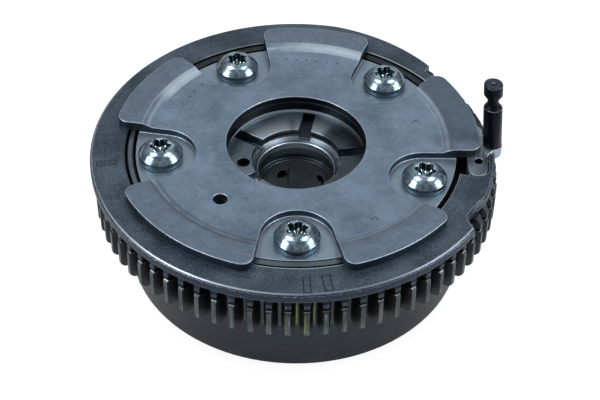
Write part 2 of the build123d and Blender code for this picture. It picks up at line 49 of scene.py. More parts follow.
# Camera, fitted to the photograph: focal length and place in mm, angles in degrees
cameraSetup = {
    "focal": 87.947,
    "sensor": 36.0,
    "back": 302.43,
    "height": 300.29,
    "tilt": 43.24,
    "pan": 0.233,
    "roll": 0.752,
    "clip": (0.01, 20),  # in metres
}


def placeCamera(setup):
    tilt, pan, roll = (math.radians(setup[key]) for key in ("tilt", "pan", "roll"))
    level = math.cos(tilt)
    forward = Vector((math.sin(pan) * level, math.cos(pan) * level, -math.sin(tilt)))
    right = Vector((math.cos(pan), -math.sin(pan), 0))
    up = right.cross(forward)
    turnedRight = right * math.cos(roll) + up * math.sin(roll)
    turnedUp = up * math.cos(roll) - right * math.sin(roll)
    matrix = Matrix((turnedRight, turnedUp, -forward)).transposed().to_4x4()
    matrix.translation = Vector((0, -setup["back"] * mm, setup["height"] * mm))
    data = bpy.data.cameras.new("photoCamera")
    data.lens = setup["focal"]
    data.sensor_width = setup["sensor"]
    data.clip_start, data.clip_end = setup["clip"]
    camera = bpy.data.objects.new("photoCamera", data)
    camera.matrix_world = matrix
    bpy.context.scene.collection.objects.link(camera)
    bpy.context.scene.camera = camera


placeCamera(cameraSetup)
bpy.context.scene.view_settings.view_transform = "Standard"
print("camera placed")


# Shader maths: a Signal wraps one socket, and its operators add Math or Vector Math nodes
class Signal:
    def __init__(self, graph, socket):
        self.graph = graph
        self.socket = socket

    def combine(self, operation, other, swapped=False):
        vector = self.socket.type in ("VECTOR", "RGBA")
        kind = "ShaderNodeVectorMath" if vector else "ShaderNodeMath"
        if vector and isinstance(other, (int, float)):
            other = (other, other, other)
        first, second = (other, self) if swapped else (self, other)
        return self.graph.node(kind, {"operation": operation}, {0: first, 1: second})

    def __add__(self, other):
        return self.combine("ADD", other)

    def __radd__(self, other):
        return self.combine("ADD", other, True)

    def __sub__(self, other):
        return self.combine("SUBTRACT", other)

    def __rsub__(self, other):
        return self.combine("SUBTRACT", other, True)

    def __mul__(self, other):
        return self.combine("MULTIPLY", other)

    def __rmul__(self, other):
        return self.combine("MULTIPLY", other, True)

    def __truediv__(self, other):
        return self.combine("DIVIDE", other)

    def __rtruediv__(self, other):
        return self.combine("DIVIDE", other, True)

    def __pow__(self, other):
        return self.combine("POWER", other)

    def __lt__(self, other):
        return self.combine("LESS_THAN", other)

    def __gt__(self, other):
        return self.combine("GREATER_THAN", other)

    def __abs__(self):
        return self.graph.node("ShaderNodeMath", {"operation": "ABSOLUTE"}, {0: self})

    def least(self, other):
        return self.combine("MINIMUM", other)

    def most(self, other):
        return self.combine("MAXIMUM", other)

    def sine(self):
        return self.graph.node("ShaderNodeMath", {"operation": "SINE"}, {0: self})

    # 0 below low and 1 above high, smooth between; the other way round where low is the larger
    def step(self, low, high):
        ends = (low, high, 0.0, 1.0) if low < high else (high, low, 1.0, 0.0)
        inputs = {0: self, 1: ends[0], 2: ends[1], 3: ends[2], 4: ends[3]}
        return self.graph.node("ShaderNodeMapRange", {"interpolation_type": "SMOOTHSTEP"}, inputs)

    # A line where the signal comes near a value: the distances where it ends and is full
    def near(self, value, end, full):
        return abs(self - value).step(end, full)

    # 0..1 stretched to low..high
    def spread(self, low, high):
        return self * (high - low) + low


# A written colour of 0..255 as the shader's linear colour
def tone(red, green, blue):
    linear = []
    for part in (red, green, blue):
        part /= 255
        linear.append(part / 12.92 if part <= 0.04045 else ((part + 0.055) / 1.055) ** 2.4)
    return (*linear, 1.0)


# One node tree, to which every node is added by the same method
class Graph:
    def __init__(self, tree):
        self.tree = tree
        self.tree.nodes.clear()

    def node(self, kind, settings, inputs, output=0):
        made = self.tree.nodes.new(kind)
        for key, value in settings.items():
            setattr(made, key, value)
        for key, value in inputs.items():
            if isinstance(value, Signal):
                self.tree.links.new(value.socket, made.inputs[key])
            else:
                made.inputs[key].default_value = value
        return None if output is None else Signal(self, made.outputs[output])


# One material: places in mm, the patterns that the finishes share, and the finish's own plan
class Paint(Graph):
    names = {
        "colour": "Base Color",
        "roughness": "Roughness",
        "metallic": "Metallic",
        "normal": "Normal",
    }

    def __init__(self, name, plan):
        self.plan = plan
        self.material = bpy.data.materials.new(name)
        self.material.use_nodes = True
        super().__init__(self.material.node_tree)
        self.place = self.node("ShaderNodeTexCoord", {}, {}, "Object") * 1000.0
        self.x, self.y, self.z = (
            self.node("ShaderNodeSeparateXYZ", {}, {0: self.place}, axis) for axis in ("X", "Y", "Z")
        )
        self.radius = (self.x * self.x + self.y * self.y) ** 0.5
        self.angle = self.node("ShaderNodeMath", {"operation": "ARCTAN2"}, {0: self.y, 1: self.x})

    def vector(self, x, y, z):
        return self.node("ShaderNodeCombineXYZ", {}, {0: x, 1: y, 2: z})

    def noise(self, vector, scale, detail=3.0, rough=0.55, distortion=0.0):
        inputs = {"Vector": vector, "Scale": scale, "Detail": detail, "Roughness": rough}
        inputs["Distortion"] = distortion
        return self.node("ShaderNodeTexNoise", {"noise_dimensions": "3D"}, inputs, "Fac")

    # Noise that is drawn out: each way has its own scale
    def drawn(self, x, y, z, detail=3.0, rough=0.6):
        return self.noise(self.vector(x, y, z), 1.0, detail, rough)

    def cells(self, scale):
        inputs = {"Vector": self.place, "Scale": scale}
        return self.node("ShaderNodeTexVoronoi", {"feature": "F1"}, inputs, "Distance")

    # Two colours by a mask: the first where it is 0, the second where it is 1
    def mix(self, mask, first, second):
        return self.node("ShaderNodeMix", {"data_type": "RGBA"}, {0: mask, 6: first, 7: second}, 2)

    # The same with two colours of the plan
    def blend(self, mask, first, second):
        return self.mix(mask, tone(*self.plan[first]), tone(*self.plan[second]))

    # One colour of the plan laid over what is there, where the mask is 1
    def lay(self, colour, mask, name):
        return self.mix(mask, colour, tone(*self.plan[name]))

    # Near 1 along sharp edges: how far a rounded normal leans from the true one
    def edges(self, reach, low=0.01, high=0.16):
        rounded = self.node("ShaderNodeBevel", {"samples": 4}, {"Radius": reach * mm})
        sides = {0: rounded, 1: self.facing()}
        lean = self.node("ShaderNodeVectorMath", {"operation": "DOT_PRODUCT"}, sides, "Value")
        return (1 - lean).step(low, high)

    def facing(self):
        return self.node("ShaderNodeNewGeometry", {}, {}, "Normal")

    # One part of the true normal
    def part(self, axis):
        return self.node("ShaderNodeSeparateXYZ", {}, {0: self.facing()}, axis)

    # 1 on upright walls, 0 on level faces
    def upright(self):
        return abs(self.part("Z")).step(0.75, 0.35)

    # 1 on the narrow faces of broken edges, between level and upright
    def broken(self):
        level = abs(self.part("Z"))
        return level.step(0.12, 0.3) * level.step(0.975, 0.9)

    # How far a face looks straight out from the axis
    def outward(self):
        return abs(self.part("X") * self.x + self.part("Y") * self.y) / self.radius

    # A bump whose distance is in mm
    def bump(self, height, strength, distance):
        inputs = {"Strength": strength, "Distance": distance * mm, "Height": height}
        return self.node("ShaderNodeBump", {}, inputs, "Normal")

    # Places along and across a line that is turned about a centre
    def turned(self, centre, turn):
        x, y = self.x - centre[0], self.y - centre[1]
        cosine, sine = math.cos(turn), math.sin(turn)
        return x * cosine + y * sine, y * cosine - x * sine

    # Distance in mm from a turned rectangle's outline, below 0 inside
    def rectangle(self, centre, half, turn):
        along, across = self.turned(centre, turn)
        return (abs(along) - half[0]).most(abs(across) - half[1])

    # Distance in mm from the nearest of a few places, seen from above
    def dots(self, places):
        nearest = None
        flat = self.vector(self.x, self.y, 0.0)
        for x, y in places:
            ends = {0: flat, 1: (x, y, 0.0)}
            gap = self.node("ShaderNodeVectorMath", {"operation": "DISTANCE"}, ends, "Value")
            nearest = gap if nearest is None else nearest.least(gap)
        return nearest

    # 1 between two angles in degrees, with soft ends
    def sector(self, start, end, soft):
        middle, half = math.radians((start + end) / 2), math.radians((end - start) / 2)
        ahead = self.node("ShaderNodeMath", {"operation": "COSINE"}, {0: self.angle - middle})
        return ahead.step(math.cos(half + math.radians(soft)), math.cos(half))

    # The strongest of a few sectors: start, end, soft ends and strength
    def arcs(self, sectors):
        found = None
        for start, end, soft, strength in sectors:
            arc = self.sector(start, end, soft) * strength
            found = arc if found is None else found.most(arc)
        return found

    # The product of masks of the plan; the end of a name says what it measures
    def area(self, *names):
        found = None
        for name in names:
            values = self.plan[name]
            if name.endswith("Height"):
                mask = self.z.step(*values)
            elif name.endswith("Reach"):
                mask = self.radius.step(*values)
            elif name.endswith("Line"):
                mask = self.radius.near(*values)
            else:
                mask = self.arcs(values)
            found = mask if found is None else found * mask
        return found

    def finish(self, **inputs):
        sockets = {self.names[key]: value for key, value in inputs.items()}
        surface = self.node("ShaderNodeBsdfPrincipled", {}, sockets)
        self.node("ShaderNodeOutputMaterial", {}, {"Surface": surface}, None)
        return self.material


# Each finish's plan has its colours, written 0..255, and then its places in mm:
# a Height (z) or Reach (radius) says where the mask is 0 and where it is 1,
# a Line or Level is a radius or height, with the distances where it ends and is full,
# and Arcs are sectors in degrees: start, end, soft ends and strength

# Sintered steel of the two gears and the drum
gearFinish = {
    "dark": (50, 58, 61),
    "light": (86, 96, 100),
    "drum": (37, 43, 51),
    "drumLight": (52, 59, 67),
    # the split gear's colours are darker, for painted shade under the disc
    "split": (32, 40, 54),
    "splitLight": (58, 70, 84),
    # light grey, for edge wear and for painted highlights
    "wornAndLit": (168, 180, 184),
    "paint": (140, 156, 66),
    "pore": (20, 24, 28),
    "gapShadow": (8, 10, 13),
    "flank": (18, 22, 27),
    "footHeight": (25.0, 20.5),
    "footReach": (52.5, 55.0),
    "drumHeight": (20.3, 19.9),
    "crestHeight": (28.74, 28.84),
    "crestReach": (53.6, 54.4),
    "toothReach": (51.8, 52.4),
    "tipReach": (54.8, 55.2),
    "gapShadowHeight": (28.94, 29.0),
    "splitGapShadowHeight": (30.2, 30.05),
    "traces": (  # x, lowest and highest place of each trace of paint
        (-2.5, 21.5, 27.5), (-0.3, 21.0, 26.6), (0.5, 20.6, 28.4),
        (2.6, 21.2, 28.4), (4.9, 21.4, 27.6),
    ),
    "traceWidth": (0.27, 0.08),
    "traceFade": 0.8,
    "traceFront": -45.0,
}


def gearSteel(name, split=False):
    plan = gearFinish
    paint = Paint(name, plan)
    grain = paint.noise(paint.place, 4.5, 4, 0.6)
    cloud = paint.noise(paint.place, 0.16, 3, 0.5)
    turned = paint.drawn(paint.z * 9.0 + paint.radius * 6.0, paint.angle * 2.0, 0.0)
    streaks = paint.drawn(paint.angle * 210.0, paint.radius * 1.2, paint.z * 0.22)
    shade = cloud * 0.4 + grain * 0.3 + streaks * 0.4 - 0.05
    if split:
        # painted shade: the split gear is darker than the main gear, for the shade under the disc
        colour = paint.blend(shade.step(0.3, 0.75), "split", "splitLight")
    else:
        # painted light: the teeth are paler towards their foot, for light thrown up from the pale
        # floor
        foot = paint.area("footHeight", "footReach")  # paler
        body = paint.blend((shade + foot * 0.2).step(0.28, 0.85), "dark", "light")
        side = (turned * 0.35 + cloud * 0.35 + grain * 0.3).step(0.3, 0.7)
        side = paint.blend(side, "drum", "drumLight")
        colour = paint.mix(paint.area("drumHeight"), body, side)
        # painted highlight along the top edge of the teeth, broken up by noise
        crest = paint.area("crestHeight", "crestReach")
        crest = crest * paint.drawn(paint.angle * 6.0, 0.0, 0.0).step(0.36, 0.56)
        colour = paint.lay(colour, crest * 0.7, "wornAndLit")
    toothed = paint.area("toothReach") * paint.upright()
    facing = paint.outward()
    # painted shade on the tooth flanks, the faces that do not look straight out
    colour = paint.lay(colour, facing.step(0.9, 0.7) * toothed * 0.62, "flank")
    # painted highlight in vertical streaks on the tip lands that look straight out
    tip = facing.step(0.9, 0.97) * toothed * paint.area("tipReach")
    colour = paint.lay(colour, tip * streaks.step(0.5, 0.7) * 0.3, "wornAndLit")
    # lighter sharp edges: wear, and painted highlights along them
    edgeWearAndSheen = paint.edges(0.22) * paint.noise(paint.place, 1.1, 4, 0.65).step(0.4, 0.6)
    colour = paint.lay(colour, edgeWearAndSheen * (0.3 if split else 0.45), "wornAndLit")
    pores = paint.cells(3.0).step(0.16, 0.04) * paint.noise(paint.place, 0.9, 2).step(0.5, 0.62)
    colour = paint.lay(colour, pores * 0.4, "pore")
    gapShadow = paint.area("splitGapShadowHeight" if split else "gapShadowHeight")  # painted shadow in the gap between the gears
    colour = paint.lay(colour, gapShadow * 0.95, "gapShadow")
    if not split:
        trace = None
        for centre, low, high in plan["traces"]:
            line = paint.x.near(centre, *plan["traceWidth"])
            line = line * paint.z.step(low, low + plan["traceFade"])
            line = line * paint.z.step(high, high - plan["traceFade"])
            trace = line if trace is None else trace.most(line)
        smear = paint.vector(paint.x * 3.0, paint.y, paint.z * 0.9)
        trace = trace * paint.noise(smear, 1.2, 4, 0.7).step(0.38, 0.52)
        colour = paint.lay(colour, trace * (paint.y < plan["traceFront"]) * 0.9, "paint")
    rough = (grain * 0.3 + turned * 0.25 + cloud * 0.15).spread(0.34, 0.62)
    metal = 0.82 + gapShadow * 0.15
    bump = paint.bump(turned * 0.4 + grain * 0.5 + streaks * 0.3 - pores * 0.8, 0.45, 0.03)
    return paint.finish(colour=colour, roughness=rough, metallic=metal, normal=bump)


# Satin steel of the front cover: plate, five raised lobes, a ramp between them and the pockets
coverFinish = {
    "dark": (88, 105, 122),
    "light": (128, 149, 170),
    "lobe": (82, 96, 112),
    "lobeLight": (122, 140, 158),
    "band": (196, 210, 222),
    "edge": (176, 190, 204),
    "pit": (46, 54, 62),
    "pocketWall": (40, 47, 56),
    "lobeWall": (27, 32, 41),
    "lobeDark": (62, 74, 90),
    "pocket": (138, 154, 168),
    "boreWall": (12, 15, 19),
    "lobeHeight": (38.65, 38.75),
    "dimArcs": ((2, 36, 6.0, 1.0),),
    "pocketHeight": (37.0, 36.5),
    "rampHeight": (37.85, 38.05),
    "rampInnerReach": (39.7, 40.0),
    "rampOuterReach": (42.8, 42.5),
    "rampArcs": ((134, 149, 9.0, 1.0), (62, 74, 30.0, 1.0)),
    "rampDimArcs": ((206, 254, 6.0, 1.0),),
    "footLine": (39.9, 0.16, 0.05),
    "footHeight": (37.8, 37.9),
    "footArcs": ((0, 34, 4.0, 1.0), (286, 322, 4.0, 0.7)),
    "crestLine": (42.72, 0.16, 0.04),
    "crestHeight": (38.5, 38.65),
    "crestArcs": ((60, 100, 10.0, 0.5), (134, 172, 4.0, 1.0)),
    "outsideReach": (48.0, 49.0),
    "boreReach": (19.6, 19.3),
    "boreHeight": (37.75, 37.6),
    "faceHeight": (37.7, 37.95),
    "dotRow": ((-3.2, 36.3), (11.5, 34.6), 6),
    "dotGroup": ((-27.0, 24.1), (-29.0, 21.1), (-30.2, 18.6)),
    "dotSize": (0.42, 0.2),
    "stamps": ((33.0, 8.6), (20.5, -30.1)),
    "strokes": ((-0.5, 0.9), (0.55, 2.3)),  # x from the stamp's middle, and turn in radians
    "strokeHalf": (0.75, 0.12),
    "strokeSoft": (0.14, 0.0),
    "scratch": ((21.0, 13.0), (5.5, 0.03), 0.01),
    "scratchSoft": (0.1, 0.0),
}


def coverSteel(name):
    plan = coverFinish
    paint = Paint(name, plan)
    cloud = paint.noise(paint.place, 0.06, 4, 0.6)
    patch = paint.noise(paint.place, 0.3, 4, 0.65, 0.4)
    grain = paint.noise(paint.place, 1.7, 5, 0.75)
    weave = paint.drawn(paint.x * 0.6, paint.y * 5.0, paint.z)
    fine = paint.drawn(paint.x * 5.0, paint.y * 0.5, paint.z)
    shade = cloud * 0.5 + patch * 0.25 + grain * 0.3 + weave * 0.12 + fine * 0.08
    plate = paint.blend(shade.step(0.44, 0.82), "dark", "light")
    raised = (grain * 0.3 + patch * 0.25 + weave * 0.2 + fine * 0.25).step(0.3, 0.74)
    lobe = paint.area("lobeHeight")
    colour = paint.mix(lobe, plate, paint.blend(raised, "lobe", "lobeLight"))
    low = paint.area("pocketHeight")
    colour = paint.lay(colour, low * patch.spread(0.3, 0.9), "pocket")
    # painted shade on the right lobe
    colour = paint.lay(colour, lobe * paint.area("dimArcs") * 0.45, "lobeDark")
    # painted highlight: the ramp is lighter in two sectors, for the reflection of the lamps above
    band = paint.area("rampInnerReach", "rampOuterReach", "rampHeight")
    shine = paint.area("rampArcs") * patch.spread(0.75, 1.15)
    colour = paint.lay(colour, band * shine * 0.5, "band")
    # painted shade on the ramp at the front left
    colour = paint.lay(colour, band * paint.area("rampDimArcs") * 0.4, "lobeDark")
    # painted highlight: a bright line at the ramp's foot, in two sectors
    foot = paint.area("footLine", "footHeight")
    foot = foot * patch.spread(0.1, 0.6) * paint.area("footArcs")
    colour = paint.lay(colour, foot, "edge")
    # painted highlight along the ramp's top edge, in two sectors
    colour = paint.lay(colour, paint.area("crestLine", "crestHeight", "crestArcs") * 0.6, "edge")
    # painted shade: upright walls are darker, those of the pockets and, darker still, the outer walls
    # of the lobes
    wall = paint.upright()
    pocket = paint.lay(colour, wall * 0.8, "pocketWall")
    outside = paint.lay(colour, wall * 0.85, "lobeWall")
    colour = paint.mix(paint.area("outsideReach"), pocket, outside)
    # lighter sharp edges: wear, and painted highlights along them
    edgeWearAndSheen = paint.edges(0.45, 0.01, 0.1) * paint.noise(paint.place, 0.9, 4, 0.6).step(0.3, 0.5)
    colour = paint.lay(colour, edgeWearAndSheen * 0.8, "edge")
    # painted highlight on the narrow faces of the broken edges
    uneven = paint.noise(paint.place, 0.35, 4, 0.65).step(0.32, 0.55).spread(0.25, 0.85)
    colour = paint.lay(colour, paint.broken() * uneven, "edge")
    bore = paint.area("boreReach", "boreHeight")
    colour = paint.lay(colour, bore * 0.95, "boreWall")  # painted shade on the bore wall under the hole's edge
    start, end, count = plan["dotRow"]
    places = []
    for number in range(count):
        places.append([one + (two - one) * number / (count - 1) for one, two in zip(start, end)])
    face = paint.area("faceHeight")
    punched = paint.dots(places + list(plan["dotGroup"])).step(*plan["dotSize"]) * face
    colour = paint.lay(colour, punched * 0.8, "pit")
    struck = None
    for x, y in plan["stamps"]:
        for offset, turn in plan["strokes"]:
            stroke = paint.rectangle((x + offset, y), plan["strokeHalf"], turn)
            stroke = stroke.step(*plan["strokeSoft"])
            struck = stroke if struck is None else struck.most(stroke)
    scratch = paint.rectangle(*plan["scratch"]).step(*plan["scratchSoft"])
    struck = struck.most(scratch * 0.5) * face
    colour = paint.lay(colour, struck * 0.6, "pit")
    swept = paint.drawn(paint.x * 0.25 + paint.y * 2.2, paint.y * 0.3 - paint.x * 0.1, 0.0, 5, 0.75)
    scratched = swept.step(0.63, 0.7) * paint.noise(paint.place, 0.12, 2).step(0.45, 0.6)
    colour = paint.lay(colour, scratched * 0.22, "edge")
    rough = (grain * 0.35 + patch * 0.4 + weave * 0.25).spread(0.30, 0.54) + lobe * 0.06
    height = grain * 0.6 + weave * 0.2 + fine * 0.2
    bump = paint.bump(height - punched * 2.5 - struck * 2.0 - scratched * 0.3, 0.5, 0.035)
    return paint.finish(colour=colour, roughness=rough, metallic=0.85, normal=bump)


# Darker steel of the timing disc, with its marks
discFinish = {
    "dark": (50, 61, 71),
    "light": (88, 102, 116),
    "line": (134, 150, 168),
    # light, for chips and for painted glints and highlights
    "chipAndGlint": (186, 198, 210),
    "rim": (34, 41, 57),
    # near black, for the printed marks and for painted shadow at the inner edge
    "markAndShade": (20, 24, 30),
    "innerShadeReach": (47.15, 47.0),
    "innerShadeArcs": ((168, 209, 3.0, 1.0), (98, 136, 3.0, 0.5)),
    "sideHeight": (36.12, 36.02),
    "sideReach": (55.88, 56.0),
    "outerReach": (50.5, 51.0),
    "rimLine": (55.72, 0.26, 0.12),
    "rimHeight": (36.02, 36.12),
    "glintArcs": ((212, 262, 14.0, 1.0),),
    "chipReach": (54.9, 55.7),
    "chipHeight": (35.2, 35.9),
    "notchArcs": ((318, 348, 3.0, 1.0), (28, 64, 3.0, 0.5)),
    "innerLine": (46.95, 0.2, 0.05),
    "innerHeight": (36.3, 36.38),
    "innerArcs": ((38, 62, 3.0, 1.0), (104, 124, 4.0, 0.5), (258, 284, 2.0, 0.6)),
    "faceHeight": (36.1, 36.3),
    "boxes": (((3.0, -52.6), (0.9, 2.6)), ((8.1, -51.65), (1.0, 2.65))),
    "boxLine": (0.2, 0.08),
    "hatched": ((-51.1, -8.0), (2.7, 0.95), math.radians(9)),
    "hatchLine": (0.16, 0.06),
    "hatchWaves": 5.2,
}


def discSteel(name):
    plan = discFinish
    paint = Paint(name, plan)
    cloud = paint.noise(paint.place, 0.09, 4, 0.6)
    grain = paint.noise(paint.place, 1.7, 5, 0.78)
    lines = paint.drawn(paint.radius * 5.0, paint.angle * 3.0, paint.z * 3.0)
    shade = (cloud * 0.4 + grain * 0.6 + lines * 0.15).step(0.46, 0.71)
    colour = paint.blend(shade, "dark", "light")
    # painted shadow along the inner edge where it faces the open pockets
    colour = paint.lay(colour, paint.area("innerShadeReach", "innerShadeArcs") * 0.9, "markAndShade")
    # painted shade on the outer side of the disc
    side = paint.area("sideHeight").most(paint.area("sideReach"))
    colour = paint.lay(colour, side * paint.area("outerReach") * 0.85, "rim")
    # painted highlight along the rim's top edge
    rim = paint.area("rimLine", "rimHeight")
    even = paint.drawn(paint.angle * 14.0, paint.radius * 2.0, paint.z * 2.0, 4)
    colour = paint.lay(colour, rim * even.spread(0.35, 0.95), "line")
    # painted glint on the rim at the front left
    colour = paint.lay(colour, rim * paint.area("glintArcs") * even.spread(0.3, 0.8), "chipAndGlint")
    chips = paint.drawn(paint.radius * 2.0, paint.angle * 70.0, paint.z * 3.0, 5, 0.75)
    chips = chips.step(0.56, 0.64) * paint.area("chipReach") * paint.area("chipHeight")
    colour = paint.lay(colour, chips * 0.45, "chipAndGlint")
    # lighter sharp edges, most near the notches: wear, and painted highlights along them
    edgeWearAndSheen = paint.edges(0.35, 0.01, 0.12) * paint.noise(paint.place, 0.8, 4, 0.65).step(0.34, 0.5)
    colour = paint.lay(colour, edgeWearAndSheen * (0.35 + paint.area("notchArcs") * 0.55), "chipAndGlint")
    specks = paint.cells(1.1).step(0.22, 0.08) * paint.noise(paint.place, 0.3, 2).step(0.42, 0.6)
    colour = paint.lay(colour, specks * 0.55, "line")
    # painted highlight along the inner edge, in three sectors
    colour = paint.lay(colour, paint.area("innerLine", "innerHeight", "innerArcs") * 0.9, "chipAndGlint")
    marks = None
    for centre, half in plan["boxes"]:
        edge = paint.rectangle(centre, half, math.atan2(centre[1], centre[0]) + math.pi / 2)
        line = abs(edge).step(*plan["boxLine"])
        marks = line if marks is None else marks.most(line)
    edge = paint.rectangle(*plan["hatched"])
    along, across = paint.turned(plan["hatched"][0], plan["hatched"][2])
    hatch = ((along + across) * plan["hatchWaves"]).sine().step(0.1, 0.6) * edge.step(0.0, -0.1)
    marks = marks.most(abs(edge).step(*plan["hatchLine"])).most(hatch * 0.8)
    marks = marks * paint.area("faceHeight")
    colour = paint.lay(colour, marks * 0.85, "markAndShade")
    rough = (grain * 0.3 + cloud * 0.4 + lines * 0.3).spread(0.30, 0.55) - rim * 0.05
    bump = paint.bump(grain * 0.6 + lines * 0.35 - marks * 2.5 + chips * 0.4, 0.45, 0.035)
    return paint.finish(colour=colour, roughness=rough, metallic=0.85, normal=bump)


# Turned steel of the rotor
rotorFinish = {
    "dark": (66, 77, 88),
    "light": (124, 140, 154),
    "bright": (190, 204, 214),
    "deep": (36, 40, 40),
    "mouth": (48, 56, 64),
    "wallLine": (19.35, 0.35, 0.15),
    "wallHeight": (31.8, 32.4),
    "throatLine": (11.4, 1.0, 0.7),
    "throatTopHeight": (28.8, 28.4),
    "throatFootHeight": (27.6, 28.0),
    "lipLine": (10.7, 0.16, 0.05),
    "lipFootHeight": (26.0, 26.4),
    "lipTopHeight": (28.6, 28.2),
    "stepLine": (12.3, 0.14, 0.04),
    "stepFootHeight": (27.4, 27.8),
    "stepTopHeight": (30.0, 29.6),
    "boreReach": (17.0, 16.0),
    "faceHeight": (30.5, 31.5),
    "dimArcs": ((-75, 40, 25.0, 1.0),),
    "paleArcs": ((62, 86, 12.0, 1.0), (104, 138, 14.0, 1.0)),
    "paleReach": (18.6, 15.0),
    "deepHeight": (25.0, 21.0),
    "deepReach": (12.5, 11.5),
}


def rotorSteel(name):
    paint = Paint(name, rotorFinish)
    lines = paint.drawn(paint.radius * 9.0, paint.angle * 0.8, paint.z * 9.0, 4, 0.65)
    cloud = paint.noise(paint.place, 0.18, 3, 0.55)
    grain = paint.noise(paint.place, 4.0, 3, 0.6)
    shade = (lines * 0.5 + cloud * 0.4 + grain * 0.2).step(0.34, 0.82)
    colour = paint.blend(shade, "dark", "light")
    wall = paint.area("wallLine", "wallHeight")
    colour = paint.lay(colour, wall * 0.8, "bright")
    # painted shade on the step in the bore's throat
    throat = paint.area("throatLine", "throatTopHeight", "throatFootHeight")
    colour = paint.lay(colour, throat * 0.75, "mouth")
    # painted highlights along the bore's ring edges
    lip = paint.area("lipLine", "lipFootHeight", "lipTopHeight")
    lip = lip.most(paint.area("stepLine", "stepFootHeight", "stepTopHeight"))
    # painted shade on the upright walls of the bore
    dim = paint.upright() * paint.area("boreReach")
    colour = paint.lay(colour, dim * 0.6, "deep")
    level = paint.area("faceHeight")
    # painted shade on the right of the face
    colour = paint.lay(colour, paint.area("dimArcs") * level * 0.68, "deep")
    # painted light on the back of the face, in two sectors
    pale = paint.area("paleArcs") * level * paint.area("paleReach")
    colour = paint.lay(colour, pale * 0.7, "bright")
    # lighter sharp edges: wear, and painted highlights along them
    edgeWearAndSheen = paint.edges(0.25) * paint.noise(paint.place, 1.0, 3, 0.6).step(0.35, 0.6)
    colour = paint.lay(colour, (edgeWearAndSheen * 0.6).most(lip * 0.9), "bright")
    # painted shade deep in the bore
    deep = paint.area("deepHeight", "deepReach")
    colour = paint.lay(colour, deep * 0.55, "deep")
    rough = (lines * 0.5 + cloud * 0.3).spread(0.25, 0.5)
    metal = 0.9 - wall * 0.65
    bump = paint.bump(lines, 0.4, 0.02)
    return paint.finish(colour=colour, roughness=rough, metallic=metal, normal=bump)


# Steel of the spring ring with its lug, the pins and the leaf springs
springFinish = {
    "dark": (78, 89, 98),
    "light": (116, 129, 140),
    "ring": (76, 86, 94),
    "ringLight": (104, 116, 124),
    "stain": (66, 75, 84),
    "edge": (206, 216, 226),
    "inside": (10, 12, 15),
    "lug": (150, 164, 175),
    "ringReach": (46.9, 46.6),
    "lugReach": (46.6, 46.9),
    "gapArcs": ((30, 70, 3.0, 1.0), (96, 138, 3.0, 1.0)),  # unlit at the back: painted shadow
    "innerReach": (44.85, 44.65),
    "outerReach": (45.8, 45.95),
    "sideArcs": ((165, 212, 3.0, 1.0),),
    "rimReach": (45.85, 46.0),
    "hole": ((49.5, -5.6),),
    "holeSize": (1.32, 1.18),
    "holeHeight": (36.28, 36.2),
}


def springSteel(name, ring=False):
    plan = springFinish
    paint = Paint(name, plan)
    grain = paint.noise(paint.place, 3.5, 4, 0.6)
    cloud = paint.noise(paint.place, 0.5, 4, 0.6)
    shade = (grain * 0.5 + cloud * 0.5).step(0.34, 0.68)
    colour = paint.blend(shade, "dark", "light")
    if ring:
        # painted light: the lug is lighter than the ring of the same steel
        colour = paint.lay(colour, shade.spread(0.2, 0.6), "lug")
        # painted highlight on the lug's upright walls
        colour = paint.lay(colour, paint.upright() * 0.35, "edge")
        # the ring's strip keeps darker colours, for painted shade in the gap
        strip = paint.blend(shade, "ring", "ringLight")
        inside = paint.area("ringReach")
        colour = paint.mix(inside, colour, strip)
        # painted shadow on the ring: in the back gaps, on its sides at the left and along its outer
        # rim
        sides = paint.area("innerReach").most(paint.area("outerReach"))
        gap = (paint.area("gapArcs") * 0.8).most(sides * paint.area("sideArcs"))
        gap = gap.most(paint.area("rimReach") * 0.9) * inside
        colour = paint.lay(colour, gap, "inside")
    colour = paint.lay(colour, cloud.step(0.52, 0.7) * 0.4, "stain")
    # lighter sharp edges: wear, and painted highlights along them; on the ring only on the lug
    edgeWearAndSheen = paint.edges(0.4, 0.01, 0.12)
    if ring:
        edgeWearAndSheen = edgeWearAndSheen * paint.area("lugReach")
    colour = paint.lay(colour, edgeWearAndSheen * 0.9, "edge")
    if ring:
        # painted shade inside the lug's hole
        hole = paint.dots(plan["hole"]).step(*plan["holeSize"]) * paint.area("holeHeight")
        colour = paint.lay(colour, hole * 0.95, "inside")
    rough = (grain * 0.5 + cloud * 0.3).spread(0.26, 0.5)
    bump = paint.bump(grain, 0.4, 0.025)
    return paint.finish(colour=colour, roughness=rough, metallic=0.88, normal=bump)


# Bright zinc plate of the screws; places are from each screw's own foot
zincFinish = {
    "dark": (96, 118, 132),
    "light": (166, 188, 202),
    "tint": (92, 114, 146),
    "side": (104, 120, 128),
    "socket": (56, 74, 80),
    "socketLight": (196, 216, 222),
    "spot": (84, 98, 106),
    "sideReach": (5.4, 5.7),
    "sideHeight": (2.2, 1.9),
    "seatHeight": (0.5, 0.2),
    "sideTopLevel": (2.08, 0.2, 0.06),
    "socketReach": (3.0, 2.85),
    "socketHeight": (4.62, 4.4),
    "flutes": 12,
}


